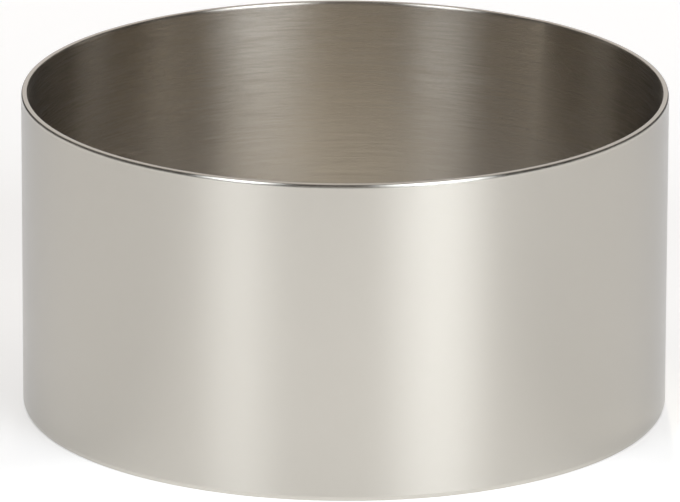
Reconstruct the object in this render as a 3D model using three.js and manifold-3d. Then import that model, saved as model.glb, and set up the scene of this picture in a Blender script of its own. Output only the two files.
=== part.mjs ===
// Pastry ring: a strip of stainless steel with rounded edges, rolled into a hoop
// and closed by one butt weld. The hoop is open at the top and at the bottom.
// Millimetres and degrees, +Z up along the ring's axis.
// The origin is the centre of the bottom edge, and the front of the ring faces -Y.

import * as THREE from 'three';
import { mergeVertices } from 'three/addons/utils/BufferGeometryUtils.js';
import Module from 'manifold-3d';

// The rolled strip
const OUTER_DIAMETER = 100;
const HEIGHT = 50;
const WALL = 1;

// The long edges of the strip: rounded outside and a little less inside, and taller than wide
// by this ratio, because brushing takes more off the wall than off the edge
const OUTER_EDGE_WIDTH = 0.25;
const INNER_EDGE_WIDTH = 0.2;
const EDGE_TALLNESS = 2.4;

// The seam: its place round the ring at mid height, measured from +X, and how far
// it runs clockwise along the wall on its way from the bottom edge to the top one,
// because the ends of the strip are cut a little out of square
const SEAM_AZIMUTH = 53;
const SEAM_LEAN = 5;

// The weld metal: its width, how far it stands proud of the inner wall,
// and the hair line between it and each end of the strip
const WELD_WIDTH = 0.8;
const WELD_CROWN = 0.05;
const WELD_CLEARANCE = 0.02;

// Facets round the ring and round each edge
const RING_SEGMENTS = 144;
const OUTER_EDGE_SEGMENTS = 4;
const INNER_EDGE_SEGMENTS = 3;

// A rounded edge takes up no more than its share of the wall, so a flat land is left,
// and of the height, so a straight wall is left
const OUTER_EDGE_LIMIT = 0.5 * WALL;
const INNER_EDGE_LIMIT = 0.35 * WALL;
const EDGE_HEIGHT_LIMIT = 0.2 * HEIGHT;

// How far the seam's cutter reaches past the wall on every side
const CUTTER_MARGIN = 2;

const OUTER_RADIUS = OUTER_DIAMETER / 2;
const INNER_RADIUS = OUTER_RADIUS - WALL;

const wasm = await Module();
wasm.setup();

// A closed mesh as a solid that can be cut
function solidFrom(geometry) {
  const bare = geometry.clone();
  bare.deleteAttribute('normal');
  bare.deleteAttribute('uv');
  const merged = mergeVertices(bare);
  const mesh = new wasm.Mesh({
    numProp: 3,
    vertProperties: new Float32Array(merged.attributes.position.array),
    triVerts: new Uint32Array(merged.index.array),
  });
  return new wasm.Manifold(mesh);
}

// The solid back as a mesh that can be shown
function geometryFrom(solid) {
  const mesh = solid.getMesh();
  const geometry = new THREE.BufferGeometry();
  geometry.setAttribute('position', new THREE.BufferAttribute(mesh.vertProperties, 3));
  geometry.setIndex(new THREE.BufferAttribute(mesh.triVerts, 1));
  geometry.computeVertexNormals();
  return geometry;
}

// A quarter turn of a rounded edge, counter-clockwise from the given angle
function edgeArc(radial, height, width, rise, startAngle, segments) {
  const arc = new THREE.EllipseCurve(radial, height, width, rise, startAngle, startAngle + Math.PI / 2);
  return arc.getPoints(segments);
}

// The strip's section, as radius and height: up the outside, over the top edge,
// down the inside and back along the bottom edge
function stripSection(innerRadius) {
  const outerWidth = Math.min(OUTER_EDGE_WIDTH, OUTER_EDGE_LIMIT);
  const innerWidth = Math.min(INNER_EDGE_WIDTH, INNER_EDGE_LIMIT);
  const outerRise = Math.min(outerWidth * EDGE_TALLNESS, EDGE_HEIGHT_LIMIT);
  const innerRise = Math.min(innerWidth * EDGE_TALLNESS, EDGE_HEIGHT_LIMIT);
  const outer = OUTER_RADIUS - outerWidth;
  const inner = innerRadius + innerWidth;
  const points = [
    ...edgeArc(outer, outerRise, outerWidth, outerRise, -Math.PI / 2, OUTER_EDGE_SEGMENTS),
    ...edgeArc(outer, HEIGHT - outerRise, outerWidth, outerRise, 0, OUTER_EDGE_SEGMENTS),
    ...edgeArc(inner, HEIGHT - innerRise, innerWidth, innerRise, Math.PI / 2, INNER_EDGE_SEGMENTS),
    ...edgeArc(inner, innerRise, innerWidth, innerRise, Math.PI, INNER_EDGE_SEGMENTS),
  ];
  points.push(points[0].clone());
  return points;
}

// The section revolved into a closed hoop that stands on its bottom edge
function hoop(innerRadius) {
  const geometry = new THREE.LatheGeometry(stripSection(innerRadius), RING_SEGMENTS);
  geometry.rotateX(Math.PI / 2);
  return solidFrom(geometry);
}

// A plate across the wall at the seam, leaning along the wall as the seam does
function seamPlate(width) {
  const depth = WALL + WELD_CROWN + 2 * CUTTER_MARGIN;
  const geometry = new THREE.BoxGeometry(width, depth, HEIGHT + 2 * CUTTER_MARGIN);
  const lean = new THREE.Matrix4().makeShear(0, 0, 0, 0, SEAM_LEAN / HEIGHT, 0);
  geometry.applyMatrix4(lean);
  geometry.translate(0, OUTER_RADIUS - WALL / 2, HEIGHT / 2);
  geometry.rotateZ(THREE.MathUtils.degToRad(SEAM_AZIMUTH - 90));
  return solidFrom(geometry);
}

// The strip, with its two ends standing apart at the seam
function rolledBand() {
  const gap = seamPlate(WELD_WIDTH + 2 * WELD_CLEARANCE);
  const steel = new THREE.MeshStandardMaterial({ color: 0xc2bcb1, metalness: 1, roughness: 0.34 });
  const mesh = new THREE.Mesh(geometryFrom(hoop(INNER_RADIUS).subtract(gap)), steel);
  mesh.name = 'rolled_band';
  return mesh;
}

// The weld metal between the two ends, in the strip's own section plus its crown inside
function seamWeld() {
  const fill = seamPlate(WELD_WIDTH);
  const steel = new THREE.MeshStandardMaterial({ color: 0xbfb8ae, metalness: 1, roughness: 0.42 });
  const mesh = new THREE.Mesh(geometryFrom(hoop(INNER_RADIUS - WELD_CROWN).intersect(fill)), steel);
  mesh.name = 'seam_weld';
  return mesh;
}

const pastryRing = new THREE.Group();
pastryRing.name = 'pastry_ring';
pastryRing.add(rolledBand(), seamWeld());

export default pastryRing;
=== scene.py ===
# %% [markdown]
# # A brushed steel pastry ring
#
# A pastry ring is one strip of stainless steel, rolled into a hoop and closed by a weld. There is
# hardly any shape to model, so the picture stands or falls with three things: the rounded edge of
# the strip, the brushed finish, and the light that the finish reflects. The lesson goes from the
# frame and the camera to the light, then to the finish, and last to the strip and its weld.

# %% Load the frame
import math

import bmesh
import bpy
from mathutils import Matrix, Vector


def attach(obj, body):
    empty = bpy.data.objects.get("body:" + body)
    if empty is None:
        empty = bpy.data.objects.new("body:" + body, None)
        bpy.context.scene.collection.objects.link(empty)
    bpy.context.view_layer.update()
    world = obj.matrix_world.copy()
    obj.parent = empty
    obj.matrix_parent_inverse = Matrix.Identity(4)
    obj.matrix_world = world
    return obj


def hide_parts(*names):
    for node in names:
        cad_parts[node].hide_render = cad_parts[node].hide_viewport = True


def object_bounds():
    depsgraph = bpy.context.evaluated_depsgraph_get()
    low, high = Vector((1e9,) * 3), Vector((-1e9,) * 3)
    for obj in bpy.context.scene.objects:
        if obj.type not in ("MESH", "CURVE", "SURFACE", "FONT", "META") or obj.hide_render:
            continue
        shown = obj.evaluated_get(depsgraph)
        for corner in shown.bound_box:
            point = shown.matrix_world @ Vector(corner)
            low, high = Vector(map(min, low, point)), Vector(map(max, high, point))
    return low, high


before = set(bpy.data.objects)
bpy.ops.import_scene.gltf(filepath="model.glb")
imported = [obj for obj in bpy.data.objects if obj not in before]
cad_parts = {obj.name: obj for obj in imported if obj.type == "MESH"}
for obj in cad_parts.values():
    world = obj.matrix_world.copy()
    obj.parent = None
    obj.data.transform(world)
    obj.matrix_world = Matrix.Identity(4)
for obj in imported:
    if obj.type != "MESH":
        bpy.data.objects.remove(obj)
cad_low, cad_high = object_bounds()
print("CAD box in mm:", [round(1000 * c, 2) for c in (*cad_low, *cad_high)])

# %% [markdown]
# The frame holds the plain solids at their real size. The new pieces take their radius, height and
# seam from it, so they land where the solids are. The wall and the rounding of its edges are
# written here again, because a faceted solid shows them only as corner points. A rounding is taller
# than it is wide, since brushing takes more off the wall than off the rim.

# %% Sizes of the ring, in metres
MM = 0.001
WALL = 1.0 * MM
OUTER_EDGE_WIDTH = 0.25 * MM
OUTER_EDGE_TALL = 0.7 * MM
INNER_EDGE_WIDTH = 0.2 * MM
INNER_EDGE_TALL = 0.6 * MM

outer_radius = cad_high.x
inner_radius = outer_radius - WALL
height = cad_high.z


def azimuth_of(points):
    """The mean angle of some points round the ring's axis, from +X."""
    middle = sum((Vector(p) for p in points), Vector()) / len(points)
    return math.atan2(middle.y, middle.x)


weld_points = [v.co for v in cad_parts["seam_weld"].data.vertices]
seam_foot = azimuth_of([p for p in weld_points if p.z < MM])
seam_head = azimuth_of([p for p in weld_points if p.z > height - MM])
seam_azimuth = (seam_foot + seam_head) / 2
seam_lean = seam_head - seam_foot
print(f"ring {2000 * outer_radius:.1f} mm across, {1000 * height:.1f} mm high")
print(f"seam at {math.degrees(seam_azimuth):.1f} degrees, leaning {math.degrees(seam_lean):.1f}")

# %% [markdown]
# The photograph was taken with a long lens from well back and a little above the rim, so the sides
# of the ring stay nearly parallel. The camera stands in front of the ring at that angle. Its place,
# lens and slight turn were found by laying the rendered rims and sides over those of the photograph
# until they met.
#
# Inside the ring, light goes from wall to wall many times before it reaches the camera. Blender
# stops following it after four mirror bounces, which leaves the ends of the far wall too dark, so
# the limit is raised.

# %% The camera
CAMERA_DISTANCE = 1.516
CAMERA_ELEVATION = math.radians(17.538)
CAMERA_ROLL = math.radians(0.162)
CAMERA_LENS = 517.3
CAMERA_AIM = Vector((-0.713, 0.0, 23.88)) * MM
MIRROR_BOUNCES = 12

to_camera = Vector((0, -math.cos(CAMERA_ELEVATION), math.sin(CAMERA_ELEVATION)))
camera_data = bpy.data.cameras.new("camera")
camera_data.lens = CAMERA_LENS
camera = bpy.data.objects.new("camera", camera_data)
camera.location = CAMERA_AIM + CAMERA_DISTANCE * to_camera
aim = (-to_camera).to_track_quat("-Z", "Y").to_matrix()
camera.rotation_euler = (aim @ Matrix.Rotation(CAMERA_ROLL, 3, "Z")).to_euler()
bpy.context.scene.collection.objects.link(camera)
bpy.context.scene.camera = camera
bpy.context.scene.view_settings.view_transform = "Standard"
bpy.context.scene.cycles.glossy_bounces = MIRROR_BOUNCES
print("camera at", [round(c, 3) for c in camera.location])


# %% [markdown]
# Lamps, room, floor and steel all get their look from shader nodes. A small helper makes a node,
# sets it and links it in one call, so that each tree reads from top to bottom. A second helper puts a
# finished mesh into the scene with its materials, which the floor, the cards and both pieces need.

# %% Two helpers
def add_node(tree, kind, inputs=(), **settings):
    """A shader node with its settings made and its inputs given, as values or as links."""
    node = tree.nodes.new(kind)
    for key, value in settings.items():
        setattr(node, key, value)
    for key, value in dict(inputs).items():
        if isinstance(value, bpy.types.NodeSocket):
            tree.links.new(value, node.inputs[key])
        else:
            node.inputs[key].default_value = value
    return node


def place_mesh(name, bm, materials):
    """An object in the scene, made from a finished mesh and given its materials."""
    mesh = bpy.data.meshes.new(name)
    bm.to_mesh(mesh)
    bm.free()
    for material in materials:
        mesh.materials.append(material)
    thing = bpy.data.objects.new(name, mesh)
    bpy.context.scene.collection.objects.link(thing)
    return thing


# %% [markdown]
# Steel has little colour of its own: it shows what stands around it. Two soft boxes stand in front,
# one on each side of the camera, and give the two pale bands on the wall, outside and inside. A
# plain area lamp has hard sides and would draw hard bands. A real soft box is brightest in the
# middle, so the lamp's own nodes fade it from there to its two sides.

# %% Two soft boxes
BOX_DISTANCE = 0.9
BOX_COLOUR = (0.9, 0.945, 1.0)
BOX_MIDDLE = 0.5


def soft_box(name, azimuth, elevation, width, tall, radiance):
    """A rectangular lamp that faces the ring from an angle right of the camera and above the floor.

    Width and height are angles too, so that the lamp can move back and look the same."""
    turn = math.radians(azimuth)
    rise = math.radians(elevation)
    away = Vector((math.sin(turn) * math.cos(rise), -math.cos(turn) * math.cos(rise), math.sin(rise)))
    lamp = bpy.data.lights.new(name, "AREA")
    lamp.shape = "RECTANGLE"
    lamp.size = 2 * BOX_DISTANCE * math.tan(math.radians(width) / 2)
    lamp.size_y = 2 * BOX_DISTANCE * math.tan(math.radians(tall) / 2)
    lamp.energy = radiance * math.pi * lamp.size * lamp.size_y
    lamp.color = BOX_COLOUR
    fade_sideways(lamp)
    box = bpy.data.objects.new(name, lamp)
    box.location = Vector((0, 0, height / 2)) + BOX_DISTANCE * away
    box.rotation_euler = away.to_track_quat("Z", "Y").to_euler()
    box.visible_camera = False
    bpy.context.scene.collection.objects.link(box)
    return box


def fade_sideways(lamp):
    """Nodes that take a lamp from full strength along its middle to nothing at its two sides."""
    lamp.use_nodes = True
    tree = lamp.node_tree
    tree.nodes.clear()
    place = add_node(tree, "ShaderNodeNewGeometry")
    across = add_node(tree, "ShaderNodeSeparateXYZ", {0: place.outputs["Parametric"]})
    side = add_node(tree, "ShaderNodeMath", {
        0: across.outputs["X"], 1: BOX_MIDDLE}, operation="SUBTRACT")
    side = add_node(tree, "ShaderNodeMath", {0: side.outputs[0]}, operation="ABSOLUTE")
    fade = add_node(tree, "ShaderNodeMapRange", {
        "Value": side.outputs[0], "From Min": BOX_MIDDLE, "From Max": 0},
        interpolation_type="SMOOTHSTEP")
    glow = add_node(tree, "ShaderNodeEmission", {"Strength": fade.outputs[0]})
    add_node(tree, "ShaderNodeOutputLight", {"Surface": glow.outputs[0]})


left_box = soft_box("left_soft_box", azimuth=-37.5, elevation=25, width=37, tall=32, radiance=4.9)
right_box = soft_box("right_soft_box", azimuth=32.5, elevation=22, width=49, tall=36, radiance=5.9)
print("soft boxes:", round(left_box.data.energy, 1), "and", round(right_box.data.energy, 1), "W")

# %% [markdown]
# The lower part of the inside is lit from below: light falls into the ring, and the floor throws it
# up the wall. The front wall keeps the soft boxes off that floor, so a narrow spot from behind and
# above lights it, and hardly anything outside the ring. The spot is hidden from reflections, because
# the bright edges of the rim would show it as one more white line.

# %% A spot from behind
SPOT_RISE = math.radians(52)
SPOT_DISTANCE = 0.9
SPOT_AIM = Vector((0.006, -0.022, 0))
SPOT_WATTS = 46
SPOT_COLOUR = (1.0, 0.91, 0.73)
SPOT_CONE = math.radians(3.9)
SPOT_BLEND = 0.6
SPOT_RADIUS = 0.035

lamp = bpy.data.lights.new("back_spot", "SPOT")
lamp.energy = SPOT_WATTS
lamp.spot_size = SPOT_CONE
lamp.spot_blend = SPOT_BLEND
lamp.shadow_soft_size = SPOT_RADIUS
lamp.color = SPOT_COLOUR
spot = bpy.data.objects.new("back_spot", lamp)
away = Vector((0, math.cos(SPOT_RISE), math.sin(SPOT_RISE)))
spot.location = SPOT_AIM + SPOT_DISTANCE * away
spot.rotation_euler = away.to_track_quat("Z", "Y").to_euler()
spot.visible_camera = False
spot.visible_glossy = False
bpy.context.scene.collection.objects.link(spot)
print("spot:", SPOT_WATTS, "W from behind")

# %% [markdown]
# The room is dark, with three pale places. Behind the ring are the ceiling, the soft light from
# above, and the backdrop, at the height at which the flat land of the rim mirrors it. The third is
# weak and low in front, where the inside mirrors it just under the far rim. Higher in front it stays
# dark: the rounded corner of the rim turns from the floor to the dark within a millimetre, and that
# draws the dark line along the rim. A world background can hold such a room, because its brightness
# may follow the direction that is looked in.

# %% The room around
ROOM_COLOUR = (1.0, 0.945, 0.9, 1)
ROOM_DARK = 0.085
CEILING_WHITE = 0.75
CEILING_RISE = math.radians(60)
CEILING_EDGE = math.radians(57)
CEILING_FULL = math.radians(48)
BACKDROP_WHITE = 0.88
BACKDROP_EDGE = math.radians(26)
BACKDROP_FULL = math.radians(16)
LOW_WHITE = 0.36
LOW_RISE = math.radians(180)
LOW_EDGE = math.radians(26)
LOW_FULL = math.radians(4)

world = bpy.data.worlds.new("studio")
world.use_nodes = True
bpy.context.scene.world = world
tree = world.node_tree
tree.nodes.clear()
look = add_node(tree, "ShaderNodeTexCoord")
patches = []
for rise, edge, full, white in (
        (CEILING_RISE, CEILING_EDGE, CEILING_FULL, CEILING_WHITE),
        (CAMERA_ELEVATION, BACKDROP_EDGE, BACKDROP_FULL, BACKDROP_WHITE),
        (LOW_RISE, LOW_EDGE, LOW_FULL, LOW_WHITE)):
    middle = (0, math.cos(rise), math.sin(rise))
    near = add_node(tree, "ShaderNodeVectorMath", {
        0: look.outputs["Generated"], 1: middle}, operation="DOT_PRODUCT")
    patches.append(add_node(tree, "ShaderNodeMapRange", {
        "Value": near.outputs["Value"], "From Min": math.cos(edge), "From Max": math.cos(full),
        "To Min": ROOM_DARK, "To Max": white}, interpolation_type="SMOOTHSTEP"))
room = patches[0]
for patch in patches[1:]:
    room = add_node(tree, "ShaderNodeMath", {0: room.outputs[0], 1: patch.outputs[0]},
                    operation="MAXIMUM")
sky = add_node(tree, "ShaderNodeBackground", {"Color": ROOM_COLOUR, "Strength": room.outputs[0]})
add_node(tree, "ShaderNodeOutputWorld", {"Surface": sky.outputs[0]})
print("room:", CEILING_WHITE, "at the ceiling,", BACKDROP_WHITE, "behind,", LOW_WHITE, "in front")

# %% [markdown]
# The floor is a white sheet that takes the ring's soft shadow. A photographer lights the sheet apart
# from the object until it is white. Here a share of emission does that, for the camera and for
# reflections alone. It is even in front of the ring, where the lamps stand. At the sides and behind
# it is weaker next to the ring, where the sheet is shaded, and stronger further out. Inside the ring
# there is none.

# %% The floor
FLOOR_HALF = 6.0
FLOOR_WHITE = (0.9, 0.9, 0.9, 1)
NEAR_LIFT = 0.35
FAR_LIFT = 0.46
FAR = 0.26
FRONT_LIFT = 0.62
FRONT_SIDE = -0.48
FRONT_FULL = -0.9

paper = bpy.data.materials.new("white_floor")
paper.use_nodes = True
tree = paper.node_tree
tree.nodes.clear()
matt = add_node(tree, "ShaderNodeBsdfDiffuse", {"Color": FLOOR_WHITE})
ray = add_node(tree, "ShaderNodeLightPath")
seen = add_node(tree, "ShaderNodeMath", {
    0: ray.outputs["Is Camera Ray"], 1: ray.outputs["Is Glossy Ray"]}, operation="MAXIMUM")
seen = add_node(tree, "ShaderNodeMath", {
    0: seen.outputs[0], 1: ray.outputs["Is Transmission Ray"]}, operation="MAXIMUM")
place = add_node(tree, "ShaderNodeTexCoord")
distance = add_node(tree, "ShaderNodeVectorMath", {0: place.outputs["Object"]}, operation="LENGTH")
outside = add_node(tree, "ShaderNodeMapRange", {
    "Value": distance.outputs["Value"], "From Min": inner_radius, "From Max": outer_radius})
lift = add_node(tree, "ShaderNodeMapRange", {
    "Value": distance.outputs["Value"], "From Min": outer_radius, "From Max": FAR,
    "To Min": NEAR_LIFT, "To Max": FAR_LIFT})
way = add_node(tree, "ShaderNodeVectorMath", {0: place.outputs["Object"]}, operation="NORMALIZE")
way = add_node(tree, "ShaderNodeSeparateXYZ", {0: way.outputs["Vector"]})
lift = add_node(tree, "ShaderNodeMapRange", {
    "Value": way.outputs["Y"], "From Min": FRONT_SIDE, "From Max": FRONT_FULL,
    "To Min": lift.outputs[0], "To Max": FRONT_LIFT}, interpolation_type="SMOOTHSTEP")
for share in (outside, seen):
    lift = add_node(tree, "ShaderNodeMath", {
        0: lift.outputs[0], 1: share.outputs[0]}, operation="MULTIPLY")
glow = add_node(tree, "ShaderNodeEmission", {"Strength": lift.outputs[0]})
both = add_node(tree, "ShaderNodeAddShader", {0: matt.outputs[0], 1: glow.outputs[0]})
add_node(tree, "ShaderNodeOutputMaterial", {"Surface": both.outputs[0]})
bm = bmesh.new()
bmesh.ops.create_grid(bm, x_segments=1, y_segments=1, size=FLOOR_HALF)
floor = place_mesh("floor", bm, [paper])
print("floor:", 2 * FLOOR_HALF, "m square")

# %% [markdown]
# A photographer lays black cards round bright metal to give its edges a dark outline. These lie in
# front, behind and at both sides, well clear of the ring. Only reflections see them, so every view
# keeps a white floor.

# %% The black cards
CARD_FRONT = 0.40
CARD_SIDE = 0.80
CARD_BACK = 0.22
CARD_LONG = 6.0
CARD_LIFT = 0.001
CARD_BLACK = (0.03, 0.03, 0.03, 1)

black = bpy.data.materials.new("black_paper")
black.use_nodes = True
surface = black.node_tree.nodes["Principled BSDF"]
surface.inputs["Base Color"].default_value = CARD_BLACK
surface.inputs["Roughness"].default_value = 1
bm = bmesh.new()
for across, along, wide in (
        (0, -CARD_FRONT - CARD_LONG / 2, 2 * CARD_LONG),
        (0, CARD_BACK + CARD_LONG / 2, 2 * CARD_SIDE),
        (-CARD_SIDE - CARD_LONG / 2, CARD_LONG / 2 - CARD_FRONT, CARD_LONG),
        (CARD_SIDE + CARD_LONG / 2, CARD_LONG / 2 - CARD_FRONT, CARD_LONG)):
    sheet = bmesh.ops.create_grid(bm, x_segments=1, y_segments=1, size=0.5)["verts"]
    bmesh.ops.scale(bm, verts=sheet, vec=(wide, CARD_LONG, 1))
    bmesh.ops.translate(bm, verts=sheet, vec=(across, along, CARD_LIFT))
card = place_mesh("black_cards", bm, [black])
card.visible_camera = False
card.visible_diffuse = False
card.visible_shadow = False
print("black cards:", len(card.data.polygons))

# %% [markdown]
# Brushing leaves fine scratches round the wall. Light spreads across a scratch and hardly along it,
# so a reflection is drawn out up and down the wall. The shader does that with its anisotropy, which
# follows the tangent of the UV map. Between the scratches the metal is nearly bright, so the
# roughness is a mixture: a grain finer than a pixel chooses between bright and rough. A second
# noise, squeezed in height and stretched round the ring, shifts that choice, and shows as streaks
# where the soft boxes are mirrored. The inside is streaked more than the outside. It is also a shade
# darker and warmer, and that colour is painted shade and painted bounce light: it is the same steel,
# darkened for the shade inside the ring and warmed for the light its walls throw at each other. The
# flat land and the outer edges, which were only rounded off, are smoother than the walls.

# %% The brushed finish
STEEL_COLOUR = (0.55, 0.525, 0.475, 1)
# Painted shade and bounce light: the inside's steel is darkened for the shade inside the ring and
# warmed for the light its walls throw at each other.
INSIDE_STEEL_WITH_PAINTED_SHADE = (0.534, 0.497, 0.444, 1)
WELD_COLOUR = (0.54, 0.504, 0.447, 1)
GLANCING_TINT = (0.85, 0.86, 0.88, 1)
UV_NAME = "wall"
ANISOTROPY = 0.97
QUARTER_TURN = 0.25
GRAIN_SCALE = (40000, 40000, 40000)
GRAIN_DETAIL = 1
STREAK_SCALE = (110, 110, 3500)
STREAK_DETAIL = 2
STREAK_RELIEF = 2e-8
BLUR = 0.05


def brushed_steel(name, colour, bright, rough, cut, streak):
    """Stainless steel brushed round the ring: bright metal with a rough grain.

    cut is the level of the noise above which the metal is rough, and streak is how far the
    stretched noise shifts it."""
    material = bpy.data.materials.new(name)
    material.use_nodes = True
    tree = material.node_tree
    steel = tree.nodes["Principled BSDF"]
    steel.inputs["Base Color"].default_value = colour
    steel.inputs["Metallic"].default_value = 1
    steel.inputs["Specular Tint"].default_value = GLANCING_TINT
    steel.inputs["Anisotropic"].default_value = ANISOTROPY
    steel.inputs["Anisotropic Rotation"].default_value = QUARTER_TURN
    tangent = add_node(tree, "ShaderNodeTangent", direction_type="UV_MAP", uv_map=UV_NAME)
    tree.links.new(tangent.outputs[0], steel.inputs["Tangent"])
    place = add_node(tree, "ShaderNodeTexCoord")
    noises = []
    for scale, detail in ((GRAIN_SCALE, GRAIN_DETAIL), (STREAK_SCALE, STREAK_DETAIL)):
        squeeze = add_node(tree, "ShaderNodeMapping", {
            "Vector": place.outputs["Object"], "Scale": scale})
        noises.append(add_node(tree, "ShaderNodeTexNoise", {
            "Vector": squeeze.outputs[0], "Scale": 1, "Detail": detail}))
    grain, streaks = noises
    shift = add_node(tree, "ShaderNodeMapRange", {
        "Value": streaks.outputs[0], "To Min": cut + streak, "To Max": cut - streak})
    over = add_node(tree, "ShaderNodeMath", {
        0: grain.outputs[0], 1: shift.outputs[0]}, operation="SUBTRACT")
    mixed = add_node(tree, "ShaderNodeMapRange", {
        "Value": over.outputs[0], "From Min": -BLUR, "From Max": BLUR,
        "To Min": bright, "To Max": rough})
    tree.links.new(mixed.outputs[0], steel.inputs["Roughness"])
    bump = add_node(tree, "ShaderNodeBump", {
        "Height": streaks.outputs[0], "Strength": 1, "Distance": STREAK_RELIEF})
    tree.links.new(bump.outputs[0], steel.inputs["Normal"])
    return material


outer_finish = brushed_steel(
    "outer_wall_steel", STEEL_COLOUR, bright=0.19, rough=0.48, cut=0.58, streak=0.004)
# The inner wall's material carries that painted shade and bounce light in its colour, along with its
# brushing.
inner_finish_and_painted_shade = brushed_steel(
    "inner_wall_steel", INSIDE_STEEL_WITH_PAINTED_SHADE, bright=0.18, rough=0.48, cut=0.575, streak=0.09)
edge_finish = brushed_steel(
    "edge_steel", STEEL_COLOUR, bright=0.13, rough=0.22, cut=0.5, streak=0.02)
weld_finish = brushed_steel(
    "weld_steel", WELD_COLOUR, bright=0.20, rough=0.50, cut=0.585, streak=0.012)
print("finishes:", [m.name for m in (outer_finish, inner_finish_and_painted_shade, edge_finish, weld_finish)])

# %% [markdown]
# The strip's section is a tall thin rectangle with rounded corners. A bevel rounds a corner to a
# circle, so the section is squeezed in height before each bevel and stretched again after it, which
# leaves a rounding that is taller than wide. The finished section is turned level by level, so that
# its end leans as the seam does, and spun round the axis from one side of the weld to the other.

# %% The strip's section
WALL_ROWS = 16
OUTER_EDGE_STEPS = 10
INNER_EDGE_STEPS = 12
END_FACING = 0.5


def strip_section(bm):
    """The section of the strip as one leaning face, standing on the floor at angle 0."""
    corners = ((inner_radius, 0), (outer_radius, 0), (outer_radius, height), (inner_radius, height))
    face = bm.faces.new([bm.verts.new((r, 0, z)) for r, z in corners])
    outer_corners = [v for v in face.verts if v.co.x > inner_radius + WALL / 2]
    inner_corners = [v for v in face.verts if v.co.x < inner_radius + WALL / 2]
    for found, width, tall, steps in (
            (outer_corners, OUTER_EDGE_WIDTH, OUTER_EDGE_TALL, OUTER_EDGE_STEPS),
            (inner_corners, INNER_EDGE_WIDTH, INNER_EDGE_TALL, INNER_EDGE_STEPS)):
        bmesh.ops.scale(bm, verts=bm.verts, vec=(1, 1, width / tall))
        bmesh.ops.bevel(bm, geom=found, offset=width, segments=steps,
                        profile=0.5, affect="VERTICES", material=-1)
        bmesh.ops.scale(bm, verts=bm.verts, vec=(1, 1, tall / width))
    walls = [e for e in bm.edges if e.calc_length() > height / 2]
    bmesh.ops.subdivide_edges(bm, edges=walls, cuts=WALL_ROWS)
    for v in bm.verts:
        turn = Matrix.Rotation(seam_lean * (v.co.z / height - 0.5), 3, "Z")
        bmesh.ops.rotate(bm, verts=[v], cent=(0, 0, 0), matrix=turn)
    return bm.verts[:] + bm.edges[:] + bm.faces[:]


def spin_piece(start, sweep, steps):
    """A closed solid: the section spun round the axis from one angle through another.

    The edges round its two ends are sharp, so that the ends don't bend the shading of the walls."""
    bm = bmesh.new()
    section = strip_section(bm)
    bmesh.ops.rotate(bm, verts=bm.verts, cent=(0, 0, 0), matrix=Matrix.Rotation(start, 3, "Z"))
    bmesh.ops.spin(bm, geom=section, cent=(0, 0, 0), axis=(0, 0, 1), angle=sweep, steps=steps,
                   use_merge=False)
    bmesh.ops.recalc_face_normals(bm, faces=bm.faces)
    for face in bm.faces:
        face.smooth = True
        middle = face.calc_center_median()
        round_the_ring = Vector((-middle.y, middle.x, 0)).normalized()
        if abs(face.normal.dot(round_the_ring)) > END_FACING:
            for edge in face.edges:
                edge.smooth = False
    return bm


# %% [markdown]
# Rolls can't bend the last few millimetres of a strip, so its two ends meet in a very slight peak.
# A tenth of a millimetre is too little to feel, but it catches the light: the wall on the straighter
# side of the seam is paler than on the other. The points near the seam are moved outwards by a
# smooth rule, because the peak is part of the wall and not a form on it.

# %% The slight peak at the seam
PEAK = 0.12 * MM
STRAIGHT_REACH = 6 * MM
ROUND_REACH = 16 * MM
TIP_ROUND = 0.8 * MM


def raise_peak(bm):
    """Moves the wall outwards towards the seam, fast on its straight side and slowly on the other."""
    for v in bm.verts:
        radius = math.hypot(v.co.x, v.co.y)
        seam = seam_azimuth + seam_lean * (v.co.z / height - 0.5)
        along = math.remainder(math.atan2(v.co.y, v.co.x) - seam, math.tau) * radius
        reach = STRAIGHT_REACH if along > 0 else ROUND_REACH
        away = math.hypot(along, TIP_ROUND) - TIP_ROUND
        grow = 1 + PEAK * max(1 - away / reach, 0) ** 2 / radius
        v.co.x *= grow
        v.co.y *= grow


# %% [markdown]
# The finish has to know which way the brush went. A UV map tells it: U runs round the ring and V up
# the wall and on over the edges. Unwrapping would do it too, but a ring's angle and height already
# are such a map, with no seam to choose.

# %% The UV map
TILT = 0.01


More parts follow.
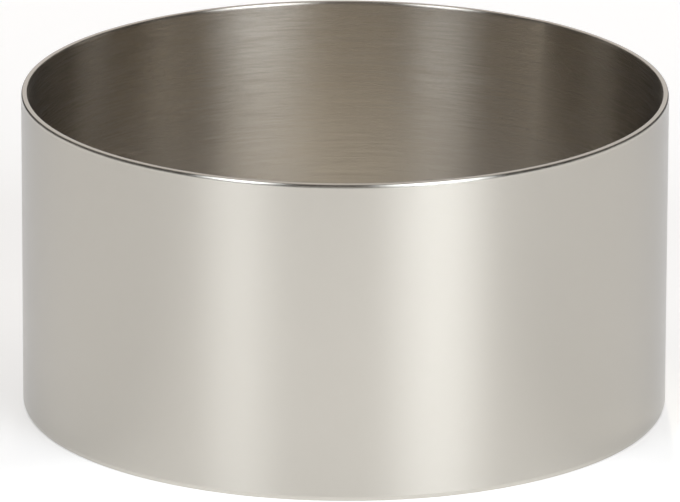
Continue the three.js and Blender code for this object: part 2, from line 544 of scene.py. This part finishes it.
def lay_uv(bm, start):
    """U runs round the ring from the seam and V up the wall and on over the edges, in metres."""
    uv = bm.loops.layers.uv.new(UV_NAME)
    for face in bm.faces:
        middle = face.calc_center_median()
        face_turn = (math.atan2(middle.y, middle.x) - start) % math.tau
        edge = abs(face.normal.z) > TILT
        side = 1 if middle.z > height / 2 else -1
        for loop in face.loops:
            p = loop.vert.co
            turn = math.atan2(p.y, p.x) - start
            turn += math.tau * round((face_turn - turn) / math.tau)
            v = p.z - height / 2
            if edge:
                v += side * (outer_radius - math.hypot(p.x, p.y))
            loop[uv].uv = (turn * outer_radius, v)


# %% [markdown]
# The strip goes once round the ring, short by the width of the weld. Its faces get their finish by
# the way they look: inwards, outwards, or up and down along the rim. A Weighted Normal modifier
# keeps the long walls flat in the shading, right up to the small rounded edges.

# %% The strip
WELD_WIDTH = 0.8 * MM
SPIN_STEPS = 600

weld_angle = WELD_WIDTH / outer_radius
band_start = seam_azimuth + weld_angle / 2
bm = spin_piece(band_start, math.tau - weld_angle, SPIN_STEPS)
raise_peak(bm)
lay_uv(bm, band_start)
finishes = [outer_finish, inner_finish_and_painted_shade, edge_finish]
for face in bm.faces:
    middle = face.calc_center_median()
    outwards = Vector((middle.x, middle.y, 0)).normalized()
    if face.normal.dot(outwards) < -TILT:
        face.material_index = finishes.index(inner_finish_and_painted_shade)
    elif abs(face.normal.z) > TILT:
        face.material_index = finishes.index(edge_finish)
strip = place_mesh("steel_strip", bm, finishes)
strip.modifiers.new("edge_normals", "WEIGHTED_NORMAL").keep_sharp = True
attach(strip, "root")
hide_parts("rolled_band")
print("strip:", len(strip.data.vertices), "vertices,", len(strip.data.polygons), "faces")

# %% [markdown]
# The weld fills the gap between the two ends of the strip. It was ground flush and brushed over, so
# it has the strip's section and nearly its finish, only a little rougher and duller. It could be
# painted on the strip as a line, but it is metal of its own, so it is a piece of its own.

# %% The weld
WELD_STEPS = 4

bm = spin_piece(seam_azimuth - weld_angle / 2, weld_angle, WELD_STEPS)
raise_peak(bm)
lay_uv(bm, seam_azimuth - weld_angle)
weld = place_mesh("weld_line", bm, [weld_finish])
weld.modifiers.new("edge_normals", "WEIGHTED_NORMAL").keep_sharp = True
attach(weld, "root")
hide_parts("seam_weld")
print("weld:", len(weld.data.vertices), "vertices,", len(weld.data.polygons), "faces")
